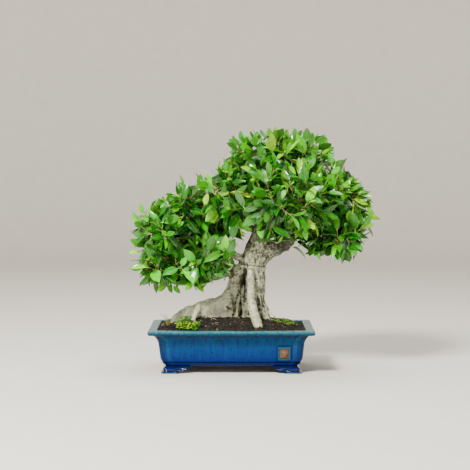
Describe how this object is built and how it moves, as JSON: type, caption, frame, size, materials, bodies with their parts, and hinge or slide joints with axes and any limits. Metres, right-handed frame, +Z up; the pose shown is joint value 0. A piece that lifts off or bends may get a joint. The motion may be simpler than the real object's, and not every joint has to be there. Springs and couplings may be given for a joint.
{
  "type": "bonsai tree in a pot",
  "caption": "Ficus bonsai with a leafy crown and a lower side pad on a surface root, in a low glazed rectangular pot on cloud feet.",
  "frame": {"origin": "on the surface that the pot stands on, below the middle of the whole object's box in plan", "axes": "+Z up, +X to the right along the pot's long side as seen from the front, +Y from the front with the maker's seal to the back"},
  "size_m": [0.4762, 0.2852, 0.4554],
  "materials": {
    "glazed_ceramic": "gloss cobalt glaze, teal where it thins",
    "screen_plastic": "moulded",
    "clip_wire": "drawn wire",
    "soil": "granular, damp",
    "bark": "living bark",
    "pebble": "water worn",
    "weed_leaf": "soft leaf",
    "moss": "matt",
    "grass": "dry stems",
    "ficus_leaf": "waxy leaf"
  },
  "bodies": {
    "root": {"pot": "glazed_ceramic", "drain_screen_left": "screen_plastic", "drain_screen_right": "screen_plastic", "screen_clip_left": "clip_wire", "screen_clip_right": "clip_wire", "soil": "soil", "trunk": "bark", "pebble_pale": "pebble", "pebble_brown": "pebble", "weed_clump": "weed_leaf", "moss_left": "moss", "moss_right": "moss", "grass_tuft": "grass", "leaves_crown_top": "ficus_leaf", "leaves_crown_right": "ficus_leaf", "leaves_crown_front": "ficus_leaf", "leaves_crown_back": "ficus_leaf", "leaves_crown_left": "ficus_leaf", "leaves_crown_low_right": "ficus_leaf", "leaves_crown_heart": "ficus_leaf", "leaves_left_top": "ficus_leaf", "leaves_left_outer": "ficus_leaf", "leaves_left_low": "ficus_leaf", "leaves_left_inner": "ficus_leaf", "leaves_left_back": "ficus_leaf"}
  },
  "joints": []
}
